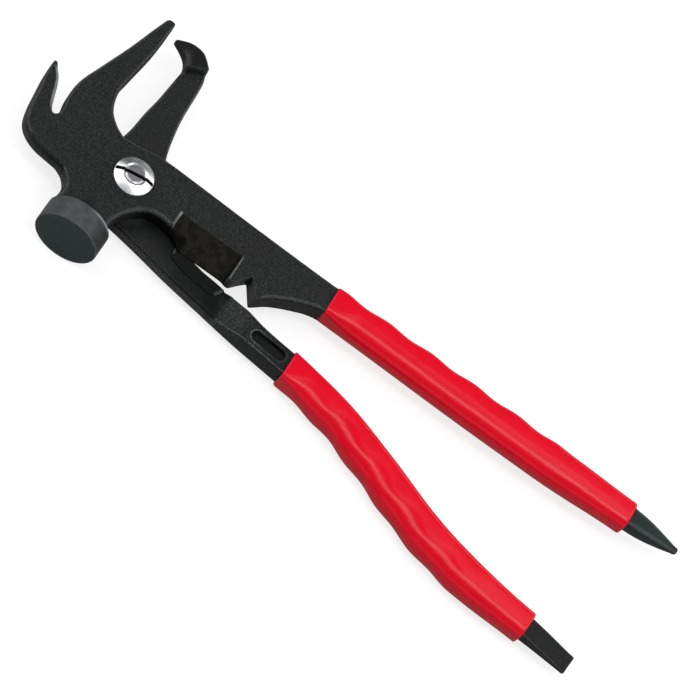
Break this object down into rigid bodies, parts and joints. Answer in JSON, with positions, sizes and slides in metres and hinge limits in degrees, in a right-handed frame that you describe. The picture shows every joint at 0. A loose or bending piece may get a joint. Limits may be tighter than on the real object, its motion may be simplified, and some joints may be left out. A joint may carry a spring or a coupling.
{
  "type": "wheel weight pliers",
  "caption": "Crossed-lever wheel weight pliers with hooked jaws, a round hammer face, a cutter blade, a notch and red dipped grips",
  "frame": {"origin": "on the pivot axis, on the flat back of the bolt's head, which lies on the bench", "axes": "+X runs along the straight handle towards its pointed end, +Y points from the pivot to the jaws' tips, +Z is the pivot axis and points out of the domed nut"},
  "size_m": [0.2522, 0.1101, 0.0216],
  "materials": {
    "hammer_lever_steel": "black oxide on forged steel",
    "hook_lever_steel": "black oxide on forged steel",
    "bolt_plating": "bright plating",
    "nut_plating": "bright plating",
    "upper_grip_vinyl": "glossy dipped vinyl",
    "lower_grip_vinyl": "glossy dipped vinyl"
  },
  "bodies": {
    "hammer_side": {"hammer_lever": "hammer_lever_steel", "pivot_bolt": "bolt_plating", "pivot_nut": "nut_plating", "upper_grip": "upper_grip_vinyl"},
    "hook_side": {"hook_lever": "hook_lever_steel", "lower_grip": "lower_grip_vinyl"}
  },
  "joints": [
    {"name": "jaws", "type": "hinge", "parent": "hammer_side", "child": "hook_side", "pos_m": [0, 0, 0], "axis": [0, 0, 1], "range_deg": [-26, 1.8]}
  ]
}
